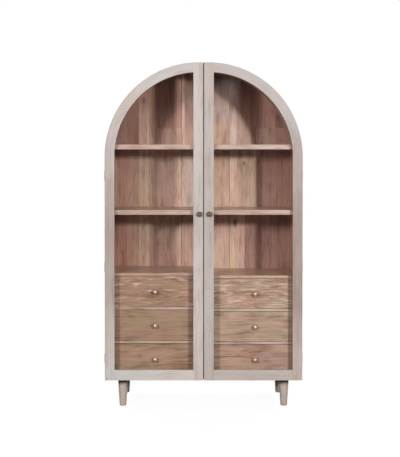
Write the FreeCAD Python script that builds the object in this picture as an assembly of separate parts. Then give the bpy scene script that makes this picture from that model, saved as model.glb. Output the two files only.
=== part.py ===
import FreeCAD, Part
import math
import os

V = FreeCAD.Vector

# The frame: millimetres, X to the right, Y to the back, Z up, origin on the floor under the middle.
# left and right are as seen from the front, and the sides are mirror images but for the drawer stacks.

# Whole cabinet
cabinet_width = 1020.0
case_depth = 376.0
leg_height = 144.0
crown_flat = 24.0               # half of the level stretch where the two quarter arcs meet
shoulder_drop = 64.0            # from the upper shelf's top down to where the sides start to curve
overrun = 5.0                   # cutting shapes run this far past what they cut

# Case boards
board_thickness = 25.0
bottom_thickness = 20.0
deck_thickness = 15.0
rail_thickness = 13.0
rail_depth = 40.0
runner_width = 20.0
housing_depth = 6.0             # how far shelves, decks and rails are let into the boards that carry them
shelf_setback = 6.0             # case front to the front of the shelves
deck_setback = 24.0             # case front to the front of the drawers, decks, rails and partition

# Clear heights, from the bottom board up
drawers_in_stack = 3
drawer_opening = 163.0          # one drawer opening on the left
right_deck_drop = 13.0          # the right stack is this much lower
middle_compartment = 304.0      # left deck to middle shelf
upper_compartment = 314.0       # middle shelf to upper shelf

# Back planks, in a rebate round the back of the case
plank_thickness = 12.0
plank_rebate = 10.0
plank_clearance = 0.5
plank_chamfer = 2.5
plank_seam_shares = (-1.0, -0.592, -0.234, 0.032, 0.301, 0.659, 1.0)
left_planks = 3

# Door frames
door_thickness = 22.0
meeting_gap = 5.0
door_member = 50.0              # width of stiles and arch rails
door_rail_height = 53.0         # bottom rail
stile_rise = 64.0               # the hinge stile runs this far up past the start of the arch
arch_joint_turn = 15.0          # degrees from the vertical to the joint inside the arch rail

# Glazing
glass_thickness = 4.0
glass_lip = 8.0                 # wood in front of the glass
glass_rebate = 8.0
glass_clearance = 0.5
bead_setback = 1.0              # the beads stop short of the sight line by this much

# Butt hinges
hinge_height = 50.0
hinge_from_bottom = 110.0       # door bottom to the middle of the lowest hinge
hinge_below_arch = 98.0         # start of the arch to the middle of the highest hinge
hinges_per_door = 3
knuckles_per_hinge = 3
leaf_thickness = 0.9
leaf_spacing = 0.2
leaf_width = 18.0
axis_outside = 0.5              # hinge axis, out from the cabinet's side
knuckle_radius = 3.0
knuckle_clearance = 0.4
knuckle_end_gap = 0.2
pin_radius = 1.25
pin_clearance = 0.05
screw_radius = 1.3
screw_head_radius = 2.6
screw_length = 14.0
hinge_screw_spacing = 30.0
hinge_screw_inset = 10.0        # hinge axis to the row of screws

# Magnetic catch and strike plate
catch_width = 34.0
catch_height = 14.0
catch_depth = 36.0
catch_from_middle = 15.5
catch_gap = 0.3
magnet_depth = 10.0
magnet_wall = 3.0
strike_thickness = 1.0
strike_width = 28.0

# Door knobs: rim, stem and foot radii, and their distances out from the door
door_knob_radius = 13.5
door_knob_projection = 24.0
door_knob_rim = 15.0
door_knob_stem_radius = 6.0
door_knob_stem = 9.0
door_knob_foot_radius = 8.0
door_knob_foot = 2.0
left_knob_from_edge = 19.0      # meeting edge to knob centre
right_knob_from_edge = 27.0
knob_above_shelf = 5.5          # middle shelf's underside to knob centre

# Drawer knobs
drawer_knob_radius = 12.5
drawer_knob_projection = 26.0
drawer_knob_rim = 17.0
drawer_knob_stem_radius = 5.0
drawer_knob_stem = 10.0
drawer_knob_foot_radius = 8.0
drawer_knob_foot = 2.0
left_drawer_knob_shift = 2.0    # knob centre, out from the middle of the drawer front
right_drawer_knob_shift = 20.0

# Screws that hold the knobs from behind
knob_screw_radius = 2.0
knob_screw_hole_clearance = 0.25
knob_screw_reach = 6.0          # into the knob
knob_screw_head_radius = 4.0
knob_screw_head = 2.5

# Drawers
drawer_gap = 2.0                # round each drawer front
drawer_front_thickness = 18.0
drawer_board = 12.0
drawer_side_drop = 16.0         # opening's top to the top of the drawer sides
drawer_bottom = 6.0
drawer_bottom_lift = 10.0
drawer_groove = 5.0
runner_clearance = 0.3
drawer_stop_gap = 0.3           # closed drawer to the back planks

# Legs and their hanger bolts
leg_top_radius = 26.0
leg_foot_radius = 17.5
leg_foot_round = 5.0
leg_from_side = 90.0            # case side to leg centre
leg_from_front = 40.5
leg_from_back = 40.5
bolt_radius = 4.0
bolt_in_leg = 40.0
bolt_in_board = 14.0

# Depths, from the knob tips back
half_width = cabinet_width / 2
arch_radius = half_width - crown_flat
door_gap = 2 * leaf_thickness + leaf_spacing
total_depth = door_knob_projection + door_thickness + door_gap + case_depth
back_y = total_depth / 2
case_front = back_y - case_depth
door_back = case_front - door_gap
door_front = door_back - door_thickness
plank_front = back_y - plank_thickness
shelf_front = case_front + shelf_setback
deck_front = case_front + deck_setback
rail_back = deck_front + rail_depth
drawer_front_back = deck_front + drawer_front_thickness

# Heights, from the floor up
floor_top = leg_height + bottom_thickness
left_deck = floor_top + drawers_in_stack * drawer_opening + (drawers_in_stack - 1) * rail_thickness
middle_shelf = left_deck + deck_thickness + middle_compartment
upper_shelf = middle_shelf + board_thickness + upper_compartment
arch_start = upper_shelf + board_thickness - shoulder_drop
crown = arch_start + arch_radius
sill = leg_height + door_rail_height

# Widths, out from the middle
partition_face = board_thickness / 2
side_face = half_width - board_thickness
meeting_edge = meeting_gap / 2
stile_edge = meeting_edge + door_member
hinge_x = half_width + axis_outside
hinge_y = (case_front + door_back) / 2

sides = {"left": -1, "right": 1}


def block(xs, ys, zs):
    """Box between two corners, each pair in any order."""
    low = V(min(xs), min(ys), min(zs))
    return Part.makeBox(abs(xs[1] - xs[0]), abs(ys[1] - ys[0]), abs(zs[1] - zs[0]), low)


def carve(shape, cutters):
    """The shape with every cutter taken out of it."""
    for cutter in cutters:
        shape = shape.cut(cutter)
    return shape


def half_plate(side, inset, inner_x, bottom, front, back):
    """One half of the arched front drawn in by inset, from inner_x outwards, as a plate."""
    outer_x = half_width - inset
    radius = arch_radius - inset
    turn = math.asin(max(inner_x - crown_flat, 0) / radius)
    half_turn = (turn + math.pi / 2) / 2

    def on_arc(angle):
        x = crown_flat + radius * math.sin(angle)
        return V(side * x, front, arch_start + radius * math.cos(angle))

    low_inner = V(side * inner_x, front, bottom)
    low_outer = V(side * outer_x, front, bottom)
    shoulder = V(side * outer_x, front, arch_start)
    top = on_arc(turn)
    edges = [
        Part.makeLine(low_inner, low_outer),
        Part.makeLine(low_outer, shoulder),
        Part.Arc(shoulder, on_arc(half_turn), top).toShape(),
    ]
    if inner_x < crown_flat:
        level_end = V(side * inner_x, front, top.z)
        edges.append(Part.makeLine(top, level_end))
        top = level_end
    edges.append(Part.makeLine(top, low_inner))
    face = Part.Face(Part.Wire(edges))
    return face.extrude(V(0, back - front, 0))


def drawer_height(side):
    """Clear height of one drawer opening on this side."""
    drop = right_deck_drop if side > 0 else 0
    return drawer_opening - drop / drawers_in_stack


def drawer_floors(side):
    """Heights that the drawers of one stack stand on, from the bottom up."""
    step = drawer_height(side) + rail_thickness
    return [floor_top + row * step for row in range(drawers_in_stack)]


def housed_board(side, bottom, thickness, front, back):
    """Board from the partition between the drawers to the case side, let into both."""
    inner_x = partition_face - housing_depth
    plate = half_plate(side, board_thickness - housing_depth, inner_x, leg_height, front, back)
    return plate.common(block((0, side * half_width), (front, back), (bottom, bottom + thickness)))


def centre_post():
    """Post behind the gap between the doors, from the bottom board to the crown."""
    zs = (floor_top, crown - board_thickness)
    return block((-partition_face, partition_face), (case_front, deck_front), zs)


def shelf(bottom):
    """Shelf across the whole case, let into its sides and notched round the centre post."""
    inset = board_thickness - housing_depth
    ys = (shelf_front, plank_front)
    left, right = (half_plate(side, inset, 0, leg_height, *ys) for side in sides.values())
    layer = block((-half_width, half_width), ys, (bottom, bottom + board_thickness))
    return left.fuse(right).common(layer).removeSplitter().cut(centre_post())


def drawer_deck(side):
    """Board above one stack of drawers."""
    bottom = drawer_floors(side)[-1] + drawer_height(side)
    return housed_board(side, bottom, deck_thickness, deck_front, plank_front)


def drawer_rails(side):
    """Rails between the drawers of one stack."""
    rails = []
    for floor in drawer_floors(side)[1:]:
        rails.append(housed_board(side, floor - rail_thickness, rail_thickness, deck_front, rail_back))
    return rails


def drawer_runners(side):
    """Strips behind each rail that the drawer sides slide on."""
    runners = []
    for floor in drawer_floors(side)[1:]:
        for inner_x in (partition_face, side_face - runner_width):
            xs = (side * inner_x, side * (inner_x + runner_width))
            runners.append(block(xs, (rail_back, plank_front), (floor - rail_thickness, floor)))
    return runners


def back_rebate(side):
    """Space of the rebate that the back planks lie in."""
    inset = board_thickness - plank_rebate
    return half_plate(side, inset, 0, leg_height - overrun, plank_front, back_y + overrun)


def upright_cylinder(x, y, radius, bottom, top):
    """Cylinder on an upright axis."""
    return Part.makeCylinder(radius, top - bottom, V(x, y, bottom))


def hinge_heights():
    """Middle heights of the hinges on one door."""
    low = leg_height + hinge_from_bottom
    high = arch_start - hinge_below_arch
    step = (high - low) / (hinges_per_door - 1)
    return [low + row * step for row in range(hinges_per_door)]


def knuckle_spaces(side):
    """Clearance round the hinge knuckles, cut from the door and from the case alike."""
    reach = hinge_height / 2 + knuckle_clearance
    radius = knuckle_radius + knuckle_clearance
    return [
        upright_cylinder(side * hinge_x, hinge_y, radius, height - reach, height + reach)
        for height in hinge_heights()
    ]


def wood_screw(x, face_y, z, backwards, head_depth):
    """Countersunk screw with its head flush with face_y, driven backwards (1) or forwards (-1)."""
    direction = V(0, backwards, 0)
    head = Part.makeCone(screw_head_radius, screw_radius, head_depth, V(x, face_y, z), direction)
    shank = Part.makeCylinder(screw_radius, screw_length, V(x, face_y, z), direction)
    return head.fuse(shank).removeSplitter()


def hinge_screws(side, height, face_y, backwards):
    """The two screws of one hinge leaf."""
    x = side * (hinge_x - hinge_screw_inset)
    offset = hinge_screw_spacing / 2
    return [wood_screw(x, face_y, height + z, backwards, leaf_thickness) for z in (-offset, offset)]


def hinge_leaf(side, height, faces, own, bore):
    """One leaf with its knuckles: faces are its two Y planes, own says which knuckles it carries."""
    bottom = height - hinge_height / 2
    pitch = hinge_height / knuckles_per_hinge
    axis = (side * hinge_x, hinge_y)
    xs = (axis[0], side * (hinge_x - leaf_width))
    leaf = block(xs, faces, (bottom, bottom + hinge_height))
    for row in range(knuckles_per_hinge):
        low = bottom + row * pitch
        if row not in own:
            space = knuckle_radius + knuckle_clearance
            leaf = leaf.cut(upright_cylinder(*axis, space, low, low + pitch))
    for row in own:
        low = bottom + row * pitch + knuckle_end_gap
        high = bottom + (row + 1) * pitch - knuckle_end_gap
        leaf = leaf.fuse(upright_cylinder(*axis, knuckle_radius, low, high))
    hole = upright_cylinder(*axis, bore, bottom - overrun, bottom + hinge_height + overrun)
    return leaf.cut(hole).removeSplitter()


def case_hinges(side):
    """Case leaves, pins and screws of one door's hinges."""
    own = range(0, knuckles_per_hinge, 2)
    solids = []
    for height in hinge_heights():
        screws = hinge_screws(side, height, case_front - leaf_thickness, 1)
        leaf = hinge_leaf(side, height, (case_front - leaf_thickness, case_front), own, pin_radius)
        reach = hinge_height / 2
        pin = upright_cylinder(side * hinge_x, hinge_y, pin_radius, height - reach, height + reach)
        solids += [carve(leaf, screws), pin] + screws
    return solids


def door_hinges(side):
    """Door leaves and screws of one door's hinges."""
    own = range(1, knuckles_per_hinge, 2)
    solids = []
    for height in hinge_heights():
        screws = hinge_screws(side, height, door_back + leaf_thickness, -1)
        faces = (door_back, door_back + leaf_thickness)
        leaf = hinge_leaf(side, height, faces, own, pin_radius + pin_clearance)
        solids += [carve(leaf, screws)] + screws
    return solids


def side_panel(side):
    """Straight case side, up to the start of the arch."""
    panel = block((side * side_face, side * half_width), (case_front, back_y), (leg_height, arch_start))
    housed = [shelf(middle_shelf), drawer_deck(side)] + drawer_rails(side)
    return carve(panel, [back_rebate(side)] + housed + knuckle_spaces(side) + case_hinges(side))


def arch_panel(side):
    """Curved upper half of the case, from the side panel to the crown."""
    outer = half_plate(side, 0, 0, leg_height, case_front, back_y)
    inner = half_plate(side, board_thickness, 0, leg_height, case_front, back_y)
    above = block((0, side * cabinet_width), (case_front, back_y), (arch_start, crown + overrun))
    panel = outer.cut(inner).common(above)
    return carve(panel, [back_rebate(side), shelf(upper_shelf)])


def leg_places():
    """Centre of each leg, by name."""
    x = half_width - leg_from_side
    ys = {"front": case_front + leg_from_front, "back": back_y - leg_from_back}
    return {
        f"{end}_{name}_leg": (sides[name] * x, y)
        for end, y in ys.items() for name in sides
    }


def leg_bolt(place):
    """Hanger bolt between a leg and the bottom board."""
    return upright_cylinder(*place, bolt_radius, leg_height - bolt_in_leg, leg_height + bolt_in_board)


def leg(place):
    """Round tapered leg with a rounded foot."""
    flat = leg_foot_radius - leg_foot_round
    corner = leg_foot_round * math.sin(math.pi / 4)
    edges = [
        Part.makeLine(V(0, 0, 0), V(flat, 0, 0)),
        Part.Arc(
            V(flat, 0, 0),
            V(flat + corner, 0, leg_foot_round - corner),
            V(leg_foot_radius, 0, leg_foot_round),
        ).toShape(),
        Part.makeLine(V(leg_foot_radius, 0, leg_foot_round), V(leg_top_radius, 0, leg_height)),
        Part.makeLine(V(leg_top_radius, 0, leg_height), V(0, 0, leg_height)),
        Part.makeLine(V(0, 0, leg_height), V(0, 0, 0)),
    ]
    turned = Part.Face(Part.Wire(edges)).revolve(V(0, 0, 0), V(0, 0, 1), 360)
    turned.translate(V(*place, 0))
    return turned.cut(leg_bolt(place))


def bottom_board():
    """Board that carries the sides, the partition and the lowest drawers."""
    board = block((-side_face, side_face), (case_front, plank_front), (leg_height, floor_top))
    return carve(board, [leg_bolt(place) for place in leg_places().values()])


def centre_partition():
    """Upright between the two stacks of drawers, up to the top of the higher deck."""
    top = left_deck + deck_thickness
    board = block((-partition_face, partition_face), (deck_front, plank_front), (floor_top, top))
    housed = []
    for side in sides.values():
        housed += [drawer_deck(side)] + drawer_rails(side)
    return carve(board, housed)


def back_planks(numbers):
    """Upright planks with chamfered front edges, cut to the arch at the top."""
    reach = half_width - board_thickness + plank_rebate - plank_clearance
    inset = half_width - reach
    outline = half_plate(-1, inset, 0, leg_height, plank_front, back_y)
    outline = outline.fuse(half_plate(1, inset, 0, leg_height, plank_front, back_y))
    planks = []
    for number in numbers:
        left = reach * plank_seam_shares[number]
        right = reach * plank_seam_shares[number + 1]
        corners = [
            V(left, back_y, leg_height),
            V(left, plank_front + plank_chamfer, leg_height),
            V(left + plank_chamfer, plank_front, leg_height),
            V(right - plank_chamfer, plank_front, leg_height),
            V(right, plank_front + plank_chamfer, leg_height),
            V(right, back_y, leg_height),
            V(left, back_y, leg_height),
        ]
        plank = Part.Face(Part.makePolygon(corners)).extrude(V(0, 0, crown - leg_height))
        planks.append(plank.common(outline))
    return planks


def knob(centre, radius, projection, rim, stem_radius, stem, foot_radius, foot, wall):
    """Mushroom knob on a wall that faces the front, with the screw that holds it from behind."""
    x, y, z = centre
    dome = (radius ** 2 + (projection - rim) ** 2) / (2 * (projection - rim))
    half_turn = math.asin(radius / dome) / 2
    dome_centre = dome - projection
    on_dome = V(dome * math.sin(half_turn), dome_centre - dome * math.cos(half_turn), 0)
    corners = [V(0, 0, 0), V(foot_radius, 0, 0), V(foot_radius, -foot, 0), V(stem_radius, -stem, 0)]
    edges = [Part.makeLine(start, end) for start, end in zip(corners, corners[1:])]
    edges.append(Part.makeLine(corners[-1], V(radius, -rim, 0)))
    edges.append(Part.Arc(V(radius, -rim, 0), on_dome, V(0, -projection, 0)).toShape())
    edges.append(Part.makeLine(V(0, -projection, 0), V(0, 0, 0)))
    body = Part.Face(Part.Wire(edges)).revolve(V(0, 0, 0), V(0, 1, 0), 360)
    body.translate(V(x, y, z))
    shank_start = V(x, y - knob_screw_reach, z)
    shank = Part.makeCylinder(knob_screw_radius, knob_screw_reach + wall, shank_start, V(0, 1, 0))
    head = Part.makeCylinder(knob_screw_head_radius, knob_screw_head, V(x, y + wall, z), V(0, 1, 0))
    screw = shank.fuse(head).removeSplitter()
    return [body.cut(screw), screw]


def screw_hole(centre, wall):
    """Hole through the wall behind a knob."""
    x, y, z = centre
    radius = knob_screw_radius + knob_screw_hole_clearance
    return Part.makeCylinder(radius, wall + 2 * overrun, V(x, y - overrun, z), V(0, 1, 0))


def door_knob_place(name):
    """Middle of the knob's foot on the door's front."""
    from_edge = left_knob_from_edge if name == "left" else right_knob_from_edge
    x = sides[name] * (meeting_edge + from_edge)
    return (x, door_front, middle_shelf + knob_above_shelf)


def strike_span():
    """Low and high distance from the middle of the catch and of its strike plate."""
    low = catch_from_middle
    middle = low + catch_width / 2
    return low, low + catch_width, middle - strike_width / 2, middle + strike_width / 2


def door_catch(side):
    """Magnetic catch under the middle shelf: plastic body and magnet."""
    low, high, _, _ = strike_span()
    front = door_back + strike_thickness + catch_gap
    zs = (middle_shelf - catch_height, middle_shelf)
    body = block((side * low, side * high), (front, front + catch_depth), zs)
    magnet = block(
        (side * (low + magnet_wall), side * (high - magnet_wall)),
        (front, front + magnet_depth),
        (zs[0] + magnet_wall, zs[1] - magnet_wall),
    )
    return [body.cut(magnet), magnet]


def strike_plate(side):
    """Steel plate on the door's back that the catch holds, and its screw."""
    _, _, low, high = strike_span()
    face = door_back + strike_thickness
    middle_z = middle_shelf - catch_height / 2
    screw = wood_screw(side * (low + high) / 2, face, middle_z, -1, strike_thickness)
    zs = (middle_shelf - catch_height, middle_shelf)
    plate = block((side * low, side * high), (door_back, face), zs)
    return [plate.cut(screw), screw]


def door_frame(name):
    """The wooden pieces of one door."""
    side = sides[name]
    blank = half_plate(side, 0, meeting_edge, leg_height, door_front, door_back)
    sight = half_plate(side, door_member, stile_edge, sill, door_front - overrun, door_back + overrun)
    seat = half_plate(
        side, door_member - glass_rebate, stile_edge - glass_rebate, sill - glass_rebate,
        door_front + glass_lip, door_back + overrun,
    )
    frame = blank.cut(sight).cut(seat)
    depth = (door_front - overrun, door_back + overrun)
    height = (leg_height - overrun, crown + overrun)
    meeting_zone = block((0, side * stile_edge), depth, height)
    rail_zone = block((0, side * (half_width - door_member)), depth, (leg_height - overrun, sill))
    arch_zone = block((0, side * cabinet_width), depth, (arch_start + stile_rise, crown + overrun))

    turn = math.radians(arch_joint_turn)
    reach = 2 * arch_radius
    pivot = V(side * crown_flat, depth[0], arch_start)
    wedge = [
        pivot,
        pivot + V(0, 0, reach),
        pivot + V(side * reach * math.sin(turn), 0, reach * math.cos(turn)),
        pivot,
    ]
    crown_zone = Part.Face(Part.makePolygon(wedge)).extrude(V(0, depth[1] - depth[0], 0))

    outer = frame.cut(meeting_zone)
    arch_rail = outer.common(arch_zone)
    hinge_stile = outer.cut(rail_zone).cut(arch_zone)
    hole = screw_hole(door_knob_place(name), door_thickness)
    return {
        "hinge_stile": [carve(hinge_stile, knuckle_spaces(side) + door_hinges(side))],
        "meeting_stile": [carve(frame.common(meeting_zone), [hole] + strike_plate(side))],
        "arch_rail": [arch_rail.cut(crown_zone), arch_rail.common(crown_zone)],
        "bottom_rail": [outer.common(rail_zone)],
    }


def door_glazing(side):
    """Glass pane and the four beads that hold it in its rebate."""
    inset = door_member - glass_rebate + glass_clearance
    inner_x = stile_edge - glass_rebate + glass_clearance
    bottom = sill - glass_rebate + glass_clearance
    front = door_front + glass_lip
    back = front + glass_thickness
    pane = half_plate(side, inset, inner_x, bottom, front, back)

    bead_blank = half_plate(side, inset, inner_x, bottom, back, door_back)
    bead_sill = sill - bead_setback
    bead_edge = stile_edge - bead_setback
    bead_space = half_plate(side, door_member - bead_setback, bead_edge, bead_sill, back, door_back)
    ring = bead_blank.cut(bead_space)
    xs = (0, side * cabinet_width)
    ys = (back, door_back)
    low_zone = block(xs, ys, (leg_height, bead_sill))
    inner_zone = block((0, side * bead_edge), ys, (bead_sill, crown))
    arch_zone = block((side * bead_edge, side * cabinet_width), ys, (arch_start, crown))
    outer_zone = block((side * bead_edge, side * cabinet_width), ys, (bead_sill, arch_start))
    beads = [ring.common(zone) for zone in (low_zone, inner_zone, arch_zone, outer_zone)]
    return {"glass": [pane], "glass_beads": beads}


def door(name):
    """All nodes of one door."""
    side = sides[name]
    nodes = {**door_frame(name), **door_glazing(side)}
    nodes["door_knob"] = knob(
        door_knob_place(name), door_knob_radius, door_knob_projection, door_knob_rim,
        door_knob_stem_radius, door_knob_stem, door_knob_foot_radius, door_knob_foot, door_thickness,
    )
    nodes["door_hinges"] = door_hinges(side)
    nodes["strike_plate"] = strike_plate(side)
    return nodes


def drawer(side, floor):
    """Front, box and knob of the drawer that stands on this floor."""
    height = drawer_height(side)
    inner_x = partition_face + drawer_gap
    outer_x = side_face - drawer_gap
    box_back = plank_front - drawer_stop_gap
    base = floor + runner_clearance
    side_top = floor + height - drawer_side_drop
    panel_z = base + drawer_bottom_lift
    panel_inset = drawer_board - drawer_groove
    panel = block(
        (side * (inner_x + panel_inset), side * (outer_x - panel_inset)),
        (drawer_front_back - drawer_groove, box_back - panel_inset),
        (panel_z, panel_z + drawer_bottom),
    )
    front = block(
        (side * inner_x, side * outer_x),
        (deck_front, drawer_front_back),
        (floor + drawer_gap, floor + height - drawer_gap),
    )
    walls = [
        block((side * x, side * (x + drawer_board)), (drawer_front_back, box_back), (base, side_top))
        for x in (inner_x, outer_x - drawer_board)
    ]
    walls.append(block(
        (side * (inner_x + drawer_board), side * (outer_x - drawer_board)),
        (box_back - drawer_board, box_back),
        (base, side_top),
    ))
    shift = right_drawer_knob_shift if side > 0 else left_drawer_knob_shift
    centre = (side * ((inner_x + outer_x) / 2 + shift), deck_front, floor + height / 2)
    return {
        "front": [carve(front, [panel, screw_hole(centre, drawer_front_thickness)])],
        "box": [wall.cut(panel) for wall in walls] + [panel],
        "knob": knob(
            centre, drawer_knob_radius, drawer_knob_projection, drawer_knob_rim,
            drawer_knob_stem_radius, drawer_knob_stem, drawer_knob_foot_radius, drawer_knob_foot,
            drawer_front_thickness,
        ),
    }


def cabinet():
    """Every node of the cabinet, as a list of separate solids."""
    nodes = {
        "bottom_board": [bottom_board()],
        "centre_post": [centre_post()],
        "centre_partition": [centre_partition()],
        "upper_shelf": [shelf(upper_shelf)],
        "middle_shelf": [shelf(middle_shelf)],
        "drawer_rails": drawer_rails(-1) + drawer_rails(1),
        "drawer_runners": drawer_runners(-1) + drawer_runners(1),
        "left_back_planks": back_planks(range(left_planks)),
        "right_back_planks": back_planks(range(left_planks, len(plank_seam_shares) - 1)),
        "leg_bolts": [leg_bolt(place) for place in leg_places().values()],
        "door_catches": door_catch(-1) + door_catch(1),
    }
    for name, place in leg_places().items():
        nodes[name] = [leg(place)]
    for name, side in sides.items():
        nodes[f"{name}_side_panel"] = [side_panel(side)]
        nodes[f"{name}_arch_panel"] = [arch_panel(side)]
        nodes[f"{name}_case_hinges"] = case_hinges(side)
        nodes[f"{name}_drawer_deck"] = [drawer_deck(side)]
        for part, solids in door(name).items():
            nodes[f"{name}_{part}"] = solids
        for row, floor in enumerate(reversed(drawer_floors(side)), start=1):
            for part, solids in drawer(side, floor).items():
                nodes[f"{name}_drawer_{row}_{part}"] = solids
    return nodes


os.makedirs("parts", exist_ok=True)
for node, solids in cabinet().items():
    solids = [solid for shape in solids for solid in shape.Solids]
    for solid in solids:
        if not solid.isValid():
            raise ValueError(f"{node} has a solid that is not valid")
    shape = solids[0] if len(solids) == 1 else Part.makeCompound(solids)
    shape.exportStep(f"parts/{node}.step")
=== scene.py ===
"""Finishes, light and camera for an arched glass cabinet with two doors. Lengths are in metres."""

import math

import bpy
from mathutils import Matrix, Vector


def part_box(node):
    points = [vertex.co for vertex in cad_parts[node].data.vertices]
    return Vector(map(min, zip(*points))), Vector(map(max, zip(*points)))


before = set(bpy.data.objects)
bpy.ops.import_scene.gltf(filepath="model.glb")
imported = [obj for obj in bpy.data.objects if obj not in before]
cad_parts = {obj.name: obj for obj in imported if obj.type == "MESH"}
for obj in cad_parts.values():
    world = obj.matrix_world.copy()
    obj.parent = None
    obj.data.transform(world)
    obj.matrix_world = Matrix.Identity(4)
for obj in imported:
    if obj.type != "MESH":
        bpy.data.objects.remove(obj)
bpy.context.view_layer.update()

# Photograph: its size and focal length in pixels, and the pixel that the level line of sight meets
PHOTO_WIDTH = 400
PHOTO_HEIGHT = 457
FOCAL_PIXELS = 995.7
EYE_PIXEL = (185.9, 158.4)
EYE = Vector((-0.0912, -5.312, 1.290))
CAMERA_DROP = math.radians(0.8)
SENSOR = 36.0                   # in millimetres

# Lamps: two small ones in front of the cabinet, a broad weak one above them and two behind it.
# Each has its place, its width and height, and its power in watts
LAMPS = {
    "left_lamp": (Vector((-1.95, -3.03, 1.78)), (0.36, 0.44), 66),
    "right_lamp": (Vector((2.04, -3.89, 1.80)), (0.30, 0.36), 118),
    "soft_lamp": (Vector((0.0, -4.2, 3.2)), (3.0, 1.6), 36),
    "left_back_lamp": (Vector((-3.0, 2.6, 3.4)), (1.8, 1.8), 140),
    "right_back_lamp": (Vector((3.0, 2.6, 3.4)), (1.8, 1.8), 140),
}
LAMP_AIM = Vector((0.0, 0.0, 1.0))
FILL = 0.01                     # strength of the even light from all round

# Floor
FLOOR_RADIUS = 14.0
FLOOR_SIDES = 64
FLOOR_TONE = 0.08
FLOOR_GLOW = 0.94               # under the cabinet, rising to white further away
SHADOW_REACH = (0.8, 2.2)       # distances from the middle between which it rises

# Cabinet, read from the frame
SIDE_LOW, SIDE_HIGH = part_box("left_side_panel")
HALF_WIDTH = -SIDE_LOW.x
PANEL_THICKNESS = SIDE_HIGH.x - SIDE_LOW.x
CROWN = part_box("left_arch_panel")[1].z
ARCH_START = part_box("left_arch_panel")[0].z
ARCH_RADIUS = CROWN - ARCH_START
ARCH_CENTRE = HALF_WIDTH - ARCH_RADIUS
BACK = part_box("left_back_planks")[1].y
FACE_DEPTH = 0.0015             # what lies this near to a face belongs to it

# Softened edges of the wood
SOFT_EDGE = 0.0008
EDGE_SEGMENTS = 2
WELD_REACH = 0.00001
FLAT_ANGLE = math.radians(0.5)
CORNER_ANGLE = math.radians(35)

# Turns that lay the grain of a board along the z axis of its texture
GRAIN_TURNS = {
    "x": (0.0, -math.pi / 2, 0.0),
    "y": (math.pi / 2, 0.0, 0.0),
    "z": (0.0, 0.0, 0.0),
}
SEED_STEP = Vector((0.731, 1.373, 2.117))

# Patterns of noise: cells in a metre across a board, through it and along it, then detail, roughness and
# distortion
RING_BENDS = ((5.0, 5.0, 1.1), 2.0, 0.5, 0.4)
RING_WAVER = ((40.0, 40.0, 3.0), 2.0, 0.5, 0.0)
STREAKS = ((60.0, 60.0, 2.6), 3.0, 0.5, 0.0)
FLECKS = ((150.0, 150.0, 14.0), 2.0, 0.6, 0.3)
CLOUDS = ((20.0, 20.0, 8.0), 3.0, 0.55, 0.0)
FIBRES = ((330.0, 330.0, 7.0), 4.0, 0.6, 0.0)
PORES = ((1300.0, 1300.0, 45.0), 1.0, 0.5, 0.0)
SAPWOOD_STREAKS = ((100.0, 100.0, 14.0), 3.0, 0.6, 0.4)
TONE_DRIFTS = ((16.0, 16.0, 5.0), 3.0, 0.5, 0.0)
WOOD_TINT_DRIFTS = ((9.0, 9.0, 3.6), 3.0, 0.5, 0.0)
WASH_TINT_DRIFTS = ((5.0, 5.0, 2.0), 3.0, 0.5, 0.0)
METAL_MOTTLE = ((220.0, 220.0, 220.0), 4.0, 0.5, 0.0)
PLASTIC_GRAIN = ((900.0, 900.0, 900.0), 2.0, 0.5, 0.0)

# Grain: what each layer adds to the light of the wood, and the middle level of the layer
GRAIN_LAYERS = {
    "streaks": (1.2, 0.5),
    "flecks": (1.0, 0.5),
    "clouds": (1.3, 0.5),
    "rings": (-0.22, 0.3),
    "fibres": (0.9, 0.5),
    "pores": (-0.25, 0.1),
}
MIDDLE_LIGHT = 0.5
RING_WAVER_SHARE = 0.04
# How many growth rings a board shows, and how strongly its grain does
BOARD_RINGS = 16.0
WASH_RINGS = 9.0
BOARD_CONTRAST = 0.55
DRAWER_CONTRAST = 0.7
WASH_CONTRAST = 0.40

# Sapwood: noise level of its streaks, how much lower that is on a board that is all sapwood, the width of the
# streaks' edges in noise levels, and how far a streak covers the tone under it
SAPWOOD_LEVEL = 0.74
SAPWOOD_DROP = 0.3
SAPWOOD_EDGE = 0.10
SAPWOOD_COVER = 0.75

# Gloss: roughness and specular level, and how far the surface's own pattern spreads the roughness
WAXED = (0.55, 0.25)
POLISHED = (0.28, 0.80)
WASHED = (0.62, 0.25)
PLASTIC_ROUGHNESS = 0.5
ROUGHNESS_SPREAD = 0.2

# Depth of the relief
WOOD_RELIEF = 0.0003
PORE_SHARE = 0.6                # depth of the pores over that of the fibres
WASH_RELIEF = 0.00025
SMOOTH_RELIEF = 0.0001

# Glass: how much it mirrors when seen straight on and how that grows at a slant
MIRROR_SHARE = 0.003
SLANT_POWER = 5.0
SLANT_SHARE = 0.96
PANE_ROUGHNESS = 0.02
PANE_TINT = (0.985, 0.992, 0.988, 1.0)
FULL_WHITE = (1.0, 1.0, 1.0, 1.0)

# Colours, as they are read on a screen from 0 to 255
WHITE = (255, 255, 255)
WASH = (188, 175, 167)
LEG_WASH = (202, 185, 174)
SHELF_LEFT = (182, 152, 138)
SHELF_RIGHT = (192, 164, 151)
EDGE_LEFT = (192, 164, 151)
EDGE_RIGHT = (205, 180, 168)
DECK_CREAM = (195, 159, 139)
DECK_ROSE = (187, 150, 131)
STRAW = (216, 188, 167)
CREAM = (226, 193, 179)
BLOND = (211, 180, 163)
ROSE = (203, 169, 156)
TAN = (192, 158, 144)
RUSSET = (186, 149, 138)
BROWN = (180, 140, 127)
UMBER = (156, 123, 112)
# Dark grey, mostly painted shade near the arch's crown
CROWN_SHADE = (128, 113, 107)
ASH = (193, 170, 159)
DUSK = (181, 157, 147)
PEARL = (201, 182, 171)
TAUPE = (160, 136, 126)
HONEY = (189, 152, 134)
AMBER = (173, 129, 111)
CINNAMON = (155, 115, 99)
BLACK_PLASTIC = (30, 30, 32)

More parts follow.
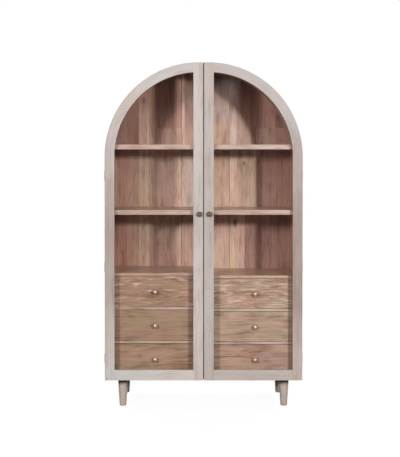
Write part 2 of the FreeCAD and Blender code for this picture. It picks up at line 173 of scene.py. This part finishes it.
# Tints that a tone drifts between
WARM_TINT = (255, 251, 246)
COOL_TINT = (249, 251, 253)
PINK_TINT = (255, 243, 241)
OLIVE_TINT = (251, 249, 236)

# Metals: colour and roughness
METALS = {
    "brass": ((186, 162, 140), 0.5),
    "hinge_brass": ((156, 132, 102), 0.5),
    "bronze": ((99, 87, 77), 0.6),
    "steel": ((168, 170, 172), 0.35),
}

# Ramps over a pattern: levels from 0 to 1, and the colour or grey there
RING_PROFILE = ((0.0, 0.0), (0.72, 0.35), (0.88, 1.0), (1.0, 0.0))
PORE_PROFILE = ((0.60, 0.0), (0.72, 1.0))
WOOD_SHADES = ((0.0, (128, 108, 98)), (0.28, (206, 196, 189)), (0.50, (242, 240, 238)), (0.70, WHITE))
WASH_SHADES = ((0.10, (204, 199, 196)), (0.50, (247, 246, 245)), (0.75, WHITE))
BARE_SHADES = ((0.0, UMBER), (0.45, BROWN), (0.8, ROSE))
METAL_SHADES = ((0.30, 0.80), (0.70, 1.0))
# Where ramps of given colours change: noise levels, or shares of the cabinet's width
TINT_STOPS = (0.36, 0.50, 0.64)
TONE_STOPS = (0.38, 0.62)
CROSSING_STOPS = (0.15, 0.85)

# Staves that the back planks are glued up from: left edge of each, and its tone
STAVES = (
    (-0.500, BROWN),
    (-0.417, HONEY),
    (-0.351, BLOND),
    (-0.293, ROSE),
    (-0.116, ROSE),
    (-0.098, ASH),
    (0.016, TAN),
    (0.149, BLOND),
    (0.297, RUSSET),
    (0.405, BROWN),
)
# Joints where staves meet end to end: below the middle shelf, above the upper shelf and higher up in the arch
LOW_JOINT = (1.011, 1.009)
SHELF_JOINT = (1.339, 1.341)
UNDER_SHELF = (1.341, 1.339)
ARCH_JOINT = (1.456, 1.460)
# Where staves change their tone: left and right edge, the heights between which they change, and the new
# tone. The changes to darker tones near the arch's crown, marked below, are painted shade under the arch.
STAVE_CHANGES = (
    (-0.500, -0.417, LOW_JOINT, AMBER),
    (-0.293, -0.116, LOW_JOINT, TAN),
    (-0.116, 0.016, LOW_JOINT, RUSSET),
    (0.016, 0.149, LOW_JOINT, ROSE),
    (0.190, 0.235, LOW_JOINT, CREAM),
    (0.235, 0.326, LOW_JOINT, BROWN),
    (-0.500, -0.351, SHELF_JOINT, UMBER),
    (-0.417, -0.351, (1.50, 1.42), CINNAMON),
    (-0.417, -0.351, UNDER_SHELF, HONEY),
    (-0.351, -0.293, SHELF_JOINT, ROSE),
    (-0.351, -0.293, (1.53, 1.60), BROWN),
    (-0.293, -0.116, SHELF_JOINT, TAN),
    (-0.293, -0.250, (1.48, 1.57), BROWN),
    (-0.250, -0.116, ARCH_JOINT, BROWN),
    # painted shade under the arch's crown
    (-0.293, -0.143, (1.66, 1.72), UMBER),
    (-0.098, 0.016, SHELF_JOINT, RUSSET),
    # painted shade, darkening the middle stave towards the crown
    (-0.098, 0.016, (1.42, 1.55), UMBER),
    (0.016, 0.149, (1.45, 1.52), DUSK),
    # partly this stave's own darker top, partly painted shade under the crown
    (0.016, 0.149, (1.56, 1.68), CROWN_SHADE),
    (0.149, 0.190, SHELF_JOINT, PEARL),
    (0.149, 0.190, (1.46, 1.50), ASH),
    # this and the next: painted shade, darkening the stave towards the crown
    (0.149, 0.190, (1.53, 1.58), TAUPE),
    (0.149, 0.190, (1.66, 1.72), CROWN_SHADE),
    (0.190, 0.235, SHELF_JOINT, ROSE),
    (0.190, 0.235, (1.46, 1.54), RUSSET),
    # this and the next: painted shade, darkening the stave towards the crown
    (0.190, 0.235, (1.60, 1.67), UMBER),
    (0.190, 0.235, (1.67, 1.72), CROWN_SHADE),
    (0.235, 0.326, SHELF_JOINT, ROSE),
    (0.235, 0.265, (1.44, 1.50), RUSSET),
    (0.265, 0.297, SHELF_JOINT, BROWN),
    # painted shade under the arch's crown
    (0.235, 0.297, (1.61, 1.67), UMBER),
    (0.297, 0.326, ARCH_JOINT, BROWN),
    (0.326, 0.405, SHELF_JOINT, TAN),
    (0.326, 0.405, ARCH_JOINT, RUSSET),
    (0.326, 0.405, (1.50, 1.57), BROWN),
    (0.405, 0.500, ARCH_JOINT, UMBER),
)
# How far apart in the texture neighbouring staves are, and staves that meet end to end
STAVE_SEED = 37.0
JOINT_SEED = 3.7

# Knots in the back planks: place across and up, size, and how dark they are
KNOTS = (
    (0.228, 1.262, 0.009, 0.6),
    (0.181, 0.934, 0.011, 0.6),
    (-0.323, 1.611, 0.009, 0.4),
)
KNOT_FLATTENING = 0.6           # width over height
KNOT_BEND = 0.8                 # how much of the way the grain is pushed aside
KNOT_BEND_REACH = 3             # how far out, in sizes of the knot

# Whitewash of the door members: tone, and tints over it by height. The tints are partly painted light: the
# stiles are painted lighter low down, where the lamps light them less.
DOOR_WASH_AND_PAINTED_LIGHT = {
    "left_hinge_stile": (
        (207, 198, 195),
        (
            (0.20, WHITE),
            (0.41, (241, 241, 241)),
            (0.55, (219, 215, 212)),
            (0.90, (203, 196, 190)),
            (1.10, (216, 211, 208)),
            (1.33, (231, 230, 229)),
        ),
    ),
    "right_hinge_stile": (
        (200, 184, 178),
        (
            (0.20, WHITE),
            (0.41, (238, 237, 237)),
            (0.53, (208, 203, 200)),
            (0.63, (216, 213, 211)),
            (0.95, (209, 203, 199)),
            (1.15, (229, 226, 223)),
        ),
    ),
    "left_meeting_stile": (
        (206, 196, 190),
        (
            (0.40, WHITE),
            (0.75, (248, 248, 248)),
            (0.92, (234, 233, 232)),
            (1.30, (241, 241, 241)),
        ),
    ),
    "right_meeting_stile": (
        (198, 187, 181),
        (
            (0.22, (246, 245, 244)),
            (0.40, WHITE),
            (0.70, (243, 242, 242)),
            (0.95, (233, 232, 232)),
            (1.30, (238, 238, 238)),
        ),
    ),
    "left_bottom_rail": ((212, 204, 199), None),
    "right_bottom_rail": ((196, 184, 176), None),
    "left_arch_rail": ((195, 187, 183), ((1.60, (244, 241, 238)), (1.68, WHITE))),
    "right_arch_rail": ((186, 177, 172), ((1.39, (242, 240, 239)), (1.46, WHITE))),
}
# Tints by height on the legs: painted shadow that the cabinet's bottom casts across the tops of the legs
LEG_TOP_PAINTED_SHADOW = (
    (0.108, WHITE),
    (0.115, (230, 228, 226)),
    (0.121, (184, 179, 176)),
    (0.127, (140, 134, 130)),
)

# Drawer fronts: two tones that drift along the grain, growth rings, and the share of pale sapwood
DRAWERS = {
    "left_drawer_1": (((170, 135, 115), (158, 127, 108)), 14.0, 0.60),
    "left_drawer_2": (((159, 133, 109), (166, 131, 112)), 7.0, 0.0),
    "left_drawer_3": (((175, 138, 119), (163, 134, 114)), 18.0, 0.15),
    "right_drawer_1": (((180, 147, 130), (169, 142, 127)), 18.0, 0.85),
    "right_drawer_2": (((182, 158, 137), (188, 158, 141)), 7.0, 0.0),
    "right_drawer_3": (((188, 154, 133), (172, 142, 131)), 22.0, 0.10),
}

# The finish of each node: the ending of its name, its kind of finish and the way that its grain runs.
# The first ending that fits counts
FINISHES = (
    ("side_panel", "wash", "z"),
    ("arch_panel", "wash", "arch"),
    ("bottom_board", "wash", "x"),
    ("leg", "leg", "z"),
    ("hinge_stile", "wash", "z"),
    ("meeting_stile", "wash", "z"),
    ("arch_rail", "wash", "arch"),
    ("bottom_rail", "wash", "x"),
    ("glass_beads", "wash", "z"),
    ("shelf", "shelf", "x"),
    ("drawer_deck", "deck", "x"),
    ("drawer_rails", "board", "x"),
    ("drawer_runners", "board", "y"),
    ("centre_partition", "board", "z"),
    ("centre_post", "board", "z"),
    ("back_planks", "planks", "z"),
    ("_front", "drawer", "x"),
    ("_box", "board", "y"),
    ("door_knob", "bronze", None),
    ("_knob", "brass", None),
    ("hinges", "hinge_brass", None),
    ("strike_plate", "steel", None),
    ("leg_bolts", "steel", None),
    ("door_catches", "plastic", None),
    ("glass", "glass", None),
)


def linear(colour):
    """A screen colour from 0 to 255 as the linear colour that shaders take, with alpha 1."""
    parts = [part / 255 for part in colour]
    return tuple(c / 12.92 if c < 0.04045 else ((c + 0.055) / 1.055) ** 2.4 for c in parts) + (1.0,)


class Shading:
    """The node tree of a new material or world, with a short method for each kind of node."""

    def __init__(self, owner):
        owner.use_nodes = True
        self.owner = owner
        self.tree = owner.node_tree
        self.tree.nodes.clear()

    def node(self, kind, inputs, **settings):
        """A node of that kind. inputs gives a value or another node's output for some of its sockets."""
        made = self.tree.nodes.new(kind)
        for name, value in settings.items():
            setattr(made, name, value)
        for socket, value in inputs.items():
            if isinstance(value, bpy.types.NodeSocket):
                self.tree.links.new(value, made.inputs[socket])
            else:
                made.inputs[socket].default_value = value
        return made

    def math(self, operation, *values):
        return self.node("ShaderNodeMath", dict(enumerate(values)), operation=operation).outputs[0]

    def vector(self, operation, *values):
        return self.node("ShaderNodeVectorMath", dict(enumerate(values)), operation=operation).outputs[0]

    def place(self):
        """Where a point of the piece is, in metres."""
        return self.node("ShaderNodeTexCoord", {}).outputs["Object"]

    def parts(self, vector):
        return self.node("ShaderNodeSeparateXYZ", {0: vector}).outputs

    def joined(self, x, y, z):
        return self.node("ShaderNodeCombineXYZ", {0: x, 1: y, 2: z}).outputs[0]

    def noise(self, vector, pattern):
        """Noise from 0 to 1 in one of the patterns above."""
        cells, detail, roughness, distortion = pattern
        inputs = {
            "Vector": self.vector("MULTIPLY", vector, cells),
            "Scale": 1.0,
            "Detail": detail,
            "Roughness": roughness,
            "Distortion": distortion,
        }
        return self.node("ShaderNodeTexNoise", inputs).outputs[0]

    def rise(self, value, start, end, low=0.0, high=1.0):
        """A rise from low to high while the value goes from start to end."""
        inputs = {"Value": value, "From Min": start, "From Max": end, "To Min": low, "To Max": high}
        return self.node("ShaderNodeMapRange", inputs).outputs[0]

    def ramp(self, factor, stops, interpolation="LINEAR"):
        """A colour ramp. stops lists places from 0 to 1, each with a screen colour or a grey from 0 to 1."""
        node = self.node("ShaderNodeValToRGB", {0: factor})
        node.color_ramp.interpolation = interpolation
        elements = node.color_ramp.elements
        while len(elements) < len(stops):
            elements.new(1.0)
        for element, (place, tone) in zip(elements, stops):
            element.position = place
            element.color = linear(tone) if isinstance(tone, tuple) else (tone, tone, tone, 1.0)
        return node.outputs[0]

    def mix(self, factor, first, second, blend="MIX"):
        """first changed towards second by factor."""
        inputs = {0: factor, 6: first, 7: second}
        return self.node("ShaderNodeMix", inputs, data_type="RGBA", blend_type=blend).outputs[2]

    def tinted(self, colour, tint):
        return self.mix(1.0, colour, tint, "MULTIPLY")

    def bump(self, height, depth):
        return self.node("ShaderNodeBump", {"Height": height, "Distance": depth, "Strength": 1.0}).outputs[0]

    def uneven(self, roughness, pattern, spread):
        """A roughness that the pattern, from 0 to 1, raises by up to half the spread or lowers as much."""
        return self.math("MULTIPLY_ADD", pattern, spread, roughness - spread / 2)

    def surface(self, **inputs):
        """A Principled surface. A socket's name is written with _ for its spaces."""
        named = {name.replace("_", " "): value for name, value in inputs.items()}
        return self.node("ShaderNodeBsdfPrincipled", named).outputs[0]

    def finish(self, shader, output="ShaderNodeOutputMaterial"):
        self.node(output, {"Surface": shader})
        return self.owner


def new_material(name):
    return Shading(bpy.data.materials.new(name))


def straight_grain(shading, axis, seed):
    """Texture place in a board: across, depth and along the grain. seed takes it to a part of its own."""
    inputs = {"Vector": shading.place(), "Rotation": GRAIN_TURNS[axis], "Location": SEED_STEP * seed}
    return shading.node("ShaderNodeMapping", inputs).outputs[0]


def arch_parts(shading):
    """Distance from the arch's centre line, depth, and angle up from the level, on either side alike."""
    x, y, z = shading.parts(shading.place())
    across = shading.math("SUBTRACT", shading.math("ABSOLUTE", x), ARCH_CENTRE)
    up = shading.math("SUBTRACT", z, ARCH_START)
    squares = shading.math("ADD", shading.math("POWER", across, 2.0), shading.math("POWER", up, 2.0))
    return shading.math("SQRT", squares), y, shading.math("ARCTAN2", up, across)


def arch_grain(shading, seed):
    """Texture place in a curved member, whose grain follows the arch."""
    radius, depth, angle = arch_parts(shading)
    along = shading.math("MULTIPLY", angle, ARCH_RADIUS)
    return shading.vector("ADD", shading.joined(radius, depth, along), SEED_STEP * seed)


def grain_place(shading, axis, seed):
    return arch_grain(shading, seed) if axis == "arch" else straight_grain(shading, axis, seed)


def growth_rings(shading, board, rings):
    """Dark lines of the growth rings, in long nested bends: 1 on a line and 0 between them."""
    bends = shading.noise(board, RING_BENDS)
    level = shading.math("MULTIPLY_ADD", shading.noise(board, RING_WAVER), RING_WAVER_SHARE, bends)
    turn = shading.math("FRACT", shading.math("MULTIPLY", level, rings))
    return shading.ramp(turn, RING_PROFILE)


def fibres(shading, board):
    """Fine long fibres, from 0 to 1."""
    return shading.noise(board, FIBRES)


def pores(shading, board):
    """Short dark pits along the grain, 1 in a pit and 0 between them."""
    return shading.ramp(shading.noise(board, PORES), PORE_PROFILE)


def grain_light(shading, board, rings, contrast):
    """How light the grain makes the wood, from 0 to 1."""
    layers = {
        "streaks": shading.noise(board, STREAKS),
        "flecks": shading.noise(board, FLECKS),
        "clouds": shading.noise(board, CLOUDS),
        "rings": growth_rings(shading, board, rings),
        "fibres": fibres(shading, board),
        "pores": pores(shading, board),
    }
    light = MIDDLE_LIGHT
    for name, (share, middle) in GRAIN_LAYERS.items():
        level = shading.math("SUBTRACT", layers[name], middle)
        light = shading.math("MULTIPLY_ADD", level, share * contrast, light)
    return light


def tint_drift(shading, board, pattern, first, second):
    """A tint that drifts from first through white to second."""
    return shading.ramp(shading.noise(board, pattern), list(zip(TINT_STOPS, (first, WHITE, second))))


def timber(name, board_of, tone_of, rings=BOARD_RINGS, contrast=BOARD_CONTRAST, gloss=WAXED, mend=None):
    """Bare wood. tone_of gives its colour, and mend changes how light the grain makes it."""
    shading = new_material(name)
    board = board_of(shading)
    tone = tone_of(shading, board)
    light = grain_light(shading, board, rings, contrast)
    if mend:
        light = mend(shading, light)
    colour = shading.tinted(tone, shading.ramp(light, WOOD_SHADES))
    colour = shading.tinted(colour, tint_drift(shading, board, WOOD_TINT_DRIFTS, PINK_TINT, OLIVE_TINT))
    fibre = fibres(shading, board)
    relief = shading.math("MULTIPLY_ADD", pores(shading, board), -PORE_SHARE, fibre)
    roughness, specular = gloss
    surface = shading.surface(
        Base_Color=colour,
        Roughness=shading.uneven(roughness, fibre, -ROUGHNESS_SPREAD),
        Specular_IOR_Level=specular,
        Normal=shading.bump(relief, WOOD_RELIEF),
    )
    return shading.finish(surface)


def drifting(first, second):
    """A tone that drifts between two colours over the board."""

    def tone_of(shading, board):
        return shading.ramp(shading.noise(board, TONE_DRIFTS), list(zip(TONE_STOPS, (first, second))))

    return tone_of


def share_across(shading, x):
    """0 at the left side of the cabinet and 1 at its right side."""
    return shading.math("MULTIPLY_ADD", x, 1 / (2 * HALF_WIDTH), 0.5)


def crossing(first, second):
    """A tone that changes from first on the left of the cabinet to second on its right."""

    def tone_of(shading, _):
        x = shading.parts(shading.place())[0]
        return shading.ramp(share_across(shading, x), list(zip(CROSSING_STOPS, (first, second))))

    return tone_of


def sapwood(tone_of, share):
    """Pale sapwood streaks over another tone. share is how much of the board they take, from 0 to 1."""

    def streaked(shading, board):
        tone = tone_of(shading, board)
        low = SAPWOOD_LEVEL - SAPWOOD_DROP * share
        edge = ((low, 0.0), (low + SAPWOOD_EDGE, SAPWOOD_COVER))
        streak = shading.ramp(shading.noise(board, SAPWOOD_STREAKS), edge)
        return shading.mix(streak, tone, linear(STRAW))

    return streaked


def tint_by_height(shading, height_tints):
    """A tint that changes with height, from a list of heights and tints. It paints shadow on the leg tops and
    partly paints light on the door members.
    """
    share = shading.math("MULTIPLY", shading.parts(shading.place())[2], 1 / CROWN)
    return shading.ramp(share, [(height / CROWN, tint) for height, tint in height_tints])


def whitewash(name, board_of, base=WASH, height_tints=None, inside=None):
    """A thin pale wash, through which the grain still shows. inside tells which points are left bare. The
    tints by height are painted shadow at the tops of the legs, and partly painted light on the door members.
    """
    shading = new_material(name)
    board = board_of(shading)
    light = grain_light(shading, board, WASH_RINGS, WASH_CONTRAST)
    colour = shading.tinted(linear(base), shading.ramp(light, WASH_SHADES))
    colour = shading.tinted(colour, tint_drift(shading, board, WASH_TINT_DRIFTS, WARM_TINT, COOL_TINT))
    # Tints by height: painted shadow on the leg tops, partly painted light on the door members
    if height_tints:
        colour = shading.tinted(colour, tint_by_height(shading, height_tints))
    if inside:
        colour = shading.mix(inside(shading), colour, shading.ramp(light, BARE_SHADES))
    fibre = fibres(shading, board)
    roughness, specular = WASHED
    surface = shading.surface(
        Base_Color=colour,
        Roughness=shading.uneven(roughness, fibre, -ROUGHNESS_SPREAD),
        Specular_IOR_Level=specular,
        Normal=shading.bump(fibre, WASH_RELIEF),
    )
    return shading.finish(surface)


def inside_side(shading):
    """1 where the straight side faces the shelves."""
    x = shading.parts(shading.place())[0]
    return shading.math("LESS_THAN", shading.math("ABSOLUTE", x), HALF_WIDTH - PANEL_THICKNESS + FACE_DEPTH)


def inside_arch(shading):
    """1 where the curved side faces the shelves."""
    radius = arch_parts(shading)[0]
    return shading.math("LESS_THAN", radius, ARCH_RADIUS - PANEL_THICKNESS + FACE_DEPTH)


def stave_change(shading, place, left, right, heights):
    """How far a stave has changed its tone, from 0 to 1. The back side of the planks keeps its first tone."""
    x, y, z = place
    beyond_left = shading.math("GREATER_THAN", x, left)
    within = shading.math("MULTIPLY", beyond_left, shading.math("LESS_THAN", x, right))
    changed = shading.math("MULTIPLY", within, shading.rise(z, *heights))
    return shading.math("MULTIPLY", changed, shading.math("LESS_THAN", y, BACK - FACE_DEPTH))


def stave_steps(shading, x, values):
    """A ramp that has one of the values on each stave."""
    steps = [(edge / (2 * HALF_WIDTH) + 0.5, value) for (edge, _), value in zip(STAVES, values)]
    return shading.ramp(share_across(shading, x), steps, "CONSTANT")


def stave_tones(shading, _):
    """The tones of the staves across the back."""
    place = shading.parts(shading.place())
    tone = stave_steps(shading, place[0], [colour for _, colour in STAVES])
    for left, right, heights, colour in STAVE_CHANGES:
        tone = shading.mix(stave_change(shading, place, left, right, heights), tone, linear(colour))
    return tone


def stave_grain(shading):
    """Texture place in the staves. Each has its own part of the texture, and the grain bends round knots."""
    place = shading.parts(shading.place())
    x, y, z = place
    seed = stave_steps(shading, x, [row / len(STAVES) for row in range(len(STAVES))])
    across = shading.math("MULTIPLY_ADD", seed, STAVE_SEED, x)
    for left, right, heights, _ in STAVE_CHANGES:
        if heights in (LOW_JOINT, SHELF_JOINT, ARCH_JOINT):
            changed = stave_change(shading, place, left, right, heights)
            across = shading.math("MULTIPLY_ADD", shading.math("ROUND", changed), JOINT_SEED, across)
    for knot in KNOTS:
        near = knot_reach(shading, place, knot, KNOT_BEND_REACH)
        push = shading.math("MULTIPLY", near, shading.math("SUBTRACT", x, knot[0]))
        across = shading.math("MULTIPLY_ADD", push, -KNOT_BEND, across)
    return shading.joined(across, y, z)


def knot_reach(shading, place, knot, sizes=1):
    """1 in the middle of a knot, falling to 0 that many sizes away. Knots are a little taller than wide."""
    x, _, z = place
    knot_x, knot_z, size, _ = knot
    reach = size * sizes
    across = shading.math("MULTIPLY", shading.math("SUBTRACT", x, knot_x), 1 / reach)
    up = shading.math("MULTIPLY", shading.math("SUBTRACT", z, knot_z), KNOT_FLATTENING / reach)
    squares = shading.math("ADD", shading.math("POWER", across, 2.0), shading.math("POWER", up, 2.0))
    return shading.math("EXPONENT", shading.math("MULTIPLY", squares, -1.0))


def with_knots(shading, light):
    """The grain's light, darkened at the knots."""
    place = shading.parts(shading.place())
    for knot in KNOTS:
        light = shading.math("MULTIPLY_ADD", knot_reach(shading, place, knot), -knot[3], light)
    return light


def metal(name, colour, roughness):
    """Cast metal with a worn, faintly mottled skin."""
    shading = new_material(name)
    mottle = shading.noise(shading.place(), METAL_MOTTLE)
    surface = shading.surface(
        Base_Color=shading.tinted(linear(colour), shading.ramp(mottle, METAL_SHADES)),
        Metallic=1.0,
        Roughness=shading.uneven(roughness, mottle, ROUGHNESS_SPREAD),
        Normal=shading.bump(mottle, SMOOTH_RELIEF),
    )
    return shading.finish(surface)


def moulded_plastic(name, colour):
    shading = new_material(name)
    grain = shading.noise(shading.place(), PLASTIC_GRAIN)
    surface = shading.surface(
        Base_Color=linear(colour),
        Roughness=shading.uneven(PLASTIC_ROUGHNESS, grain, ROUGHNESS_SPREAD),
        Normal=shading.bump(grain, SMOOTH_RELIEF),
    )
    return shading.finish(surface)


def pane_glass(name):
    """Clear pane: it mirrors a little, more at a slant, and lets the rest straight through."""
    shading = new_material(name)
    facing = shading.node("ShaderNodeLayerWeight", {}).outputs["Facing"]
    slant = shading.math("POWER", facing, SLANT_POWER)
    mirrored = shading.math("MULTIPLY_ADD", slant, SLANT_SHARE, MIRROR_SHARE)
    clear = shading.node("ShaderNodeBsdfTransparent", {"Color": PANE_TINT}).outputs[0]
    mirror = shading.surface(Base_Color=FULL_WHITE, Metallic=1.0, Roughness=PANE_ROUGHNESS)
    both = shading.node("ShaderNodeMixShader", {0: mirrored, 1: clear, 2: mirror})
    return shading.finish(both.outputs[0])


def soften(node):
    """Eases the sharp edges of a board."""
    node.modifiers.new("join", "WELD").merge_threshold = WELD_REACH
    flatten = node.modifiers.new("flatten", "DECIMATE")
    flatten.decimate_type = "DISSOLVE"
    flatten.angle_limit = FLAT_ANGLE
    ease = node.modifiers.new("ease", "BEVEL")
    ease.width = SOFT_EDGE
    ease.segments = EDGE_SEGMENTS
    ease.limit_method = "ANGLE"
    ease.angle_limit = CORNER_ANGLE
    node.modifiers.new("shade", "WEIGHTED_NORMAL").keep_sharp = False


def dress(node, material):
    for slot in node.material_slots:
        slot.material = material


def finish_of(name):
    return next((kind, axis) for ending, kind, axis in FINISHES if name.endswith(ending))


def drawer_front(name, board_of):
    tones, rings, sap = DRAWERS[name.removesuffix("_front")]
    tone_of = drifting(*tones)
    if sap:
        tone_of = sapwood(tone_of, sap)
    return timber(f"wood_{name}", board_of, tone_of, rings, DRAWER_CONTRAST)


def wood_material(name, kind, axis, seed):
    """The material of one wooden node."""

    def board_of(shading):
        return grain_place(shading, axis, seed)

    if kind == "wash":
        # The door members' tints by height are partly painted light
        base, height_tints = DOOR_WASH_AND_PAINTED_LIGHT.get(name, (WASH, None))
        insides = {"z": inside_side, "arch": inside_arch}
        inside = insides[axis] if name.endswith("_panel") else None
        return whitewash(f"wash_{name}", board_of, base, height_tints, inside)
    if kind == "leg":
        # The legs' tints by height are painted shadow under the cabinet
        return whitewash(f"wash_{name}", board_of, LEG_WASH, LEG_TOP_PAINTED_SHADOW)
    if kind == "planks":
        return timber(f"wood_{name}", stave_grain, stave_tones, mend=with_knots)
    if kind == "drawer":
        return drawer_front(name, board_of)
    if kind == "deck":
        return timber(f"wood_{name}", board_of, drifting(DECK_ROSE, DECK_CREAM), gloss=POLISHED)
    if kind == "shelf":
        return timber(f"wood_{name}", board_of, crossing(SHELF_LEFT, SHELF_RIGHT), gloss=POLISHED)
    return timber(f"wood_{name}", board_of, crossing(EDGE_LEFT, EDGE_RIGHT))


def finish_nodes():
    """Gives every node its material, and every wooden one soft edges."""
    shared = {name: metal(name, *finish) for name, finish in METALS.items()}
    shared["plastic"] = moulded_plastic("black_plastic", BLACK_PLASTIC)
    shared["glass"] = pane_glass("pane_glass")
    for seed, (name, node) in enumerate(sorted(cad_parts.items())):
        kind, axis = finish_of(name)
        if kind in shared:
            dress(node, shared[kind])
        else:
            dress(node, wood_material(name, kind, axis, seed))
            soften(node)


def seen_share(shading):
    """1 for rays from the camera, a mirror or a pane, and 0 for light that falls on a surface."""
    path = shading.node("ShaderNodeLightPath", {}).outputs
    mirrored = shading.math("MAXIMUM", path["Is Camera Ray"], path["Is Glossy Ray"])
    return shading.math("MAXIMUM", mirrored, path["Is Transmission Ray"])


def add_object(name, data):
    made = bpy.data.objects.new(name, data)
    bpy.context.scene.collection.objects.link(made)
    return made


def add_lamp(name, place, size, power):
    lamp = bpy.data.lights.new(name, "AREA")
    lamp.shape = "ELLIPSE"
    lamp.size, lamp.size_y = size
    lamp.energy = power
    holder = add_object(name, lamp)
    holder.location = place
    holder.rotation_euler = (LAMP_AIM - place).to_track_quat("-Z", "Y").to_euler()


def add_world():
    """Surroundings that are seen as white and give only a little even light."""
    world = bpy.data.worlds.new("studio")
    shading = Shading(world)
    strength = shading.rise(seen_share(shading), 0.0, 1.0, low=FILL)
    background = shading.node("ShaderNodeBackground", {"Color": FULL_WHITE, "Strength": strength})
    bpy.context.scene.world = shading.finish(background.outputs[0], "ShaderNodeOutputWorld")


def add_floor():
    """Pale floor that reads white away from the cabinet, and keeps the shadow under it."""
    turns = [2 * math.pi * step / FLOOR_SIDES for step in range(FLOOR_SIDES)]
    rim = [(FLOOR_RADIUS * math.cos(turn), FLOOR_RADIUS * math.sin(turn), 0.0) for turn in turns]
    mesh = bpy.data.meshes.new("floor")
    mesh.from_pydata(rim, [], [range(FLOOR_SIDES)])
    shading = new_material("pale_floor")
    distance = shading.node("ShaderNodeVectorMath", {0: shading.place()}, operation="LENGTH").outputs["Value"]
    glow = shading.rise(distance, *SHADOW_REACH, low=FLOOR_GLOW)
    strength = shading.math("MULTIPLY", seen_share(shading), glow)
    matt = shading.node("ShaderNodeBsdfDiffuse", {"Color": (FLOOR_TONE, FLOOR_TONE, FLOOR_TONE, 1.0)})
    light = shading.node("ShaderNodeEmission", {"Strength": strength})
    both = shading.node("ShaderNodeAddShader", {0: matt.outputs[0], 1: light.outputs[0]})
    mesh.materials.append(shading.finish(both.outputs[0]))
    add_object("floor", mesh)


def add_camera():
    """A camera in front of the cabinet, turned down a little and shifted to the photograph's frame."""
    lens = bpy.data.cameras.new("camera")
    long_side = max(PHOTO_WIDTH, PHOTO_HEIGHT)
    lens.sensor_width = SENSOR
    lens.lens = FOCAL_PIXELS * SENSOR / long_side
    axis_pixel = EYE_PIXEL[1] + FOCAL_PIXELS * math.tan(CAMERA_DROP)
    lens.shift_x = (PHOTO_WIDTH / 2 - EYE_PIXEL[0]) / long_side
    lens.shift_y = (axis_pixel - PHOTO_HEIGHT / 2) / long_side
    holder = add_object("camera", lens)
    holder.location = EYE
    holder.rotation_euler = (math.pi / 2 - CAMERA_DROP, 0.0, 0.0)
    bpy.context.scene.camera = holder


finish_nodes()
add_world()
add_floor()
for lamp_name, lamp_values in LAMPS.items():
    add_lamp(lamp_name, *lamp_values)
add_camera()
bpy.context.scene.view_settings.view_transform = "Standard"
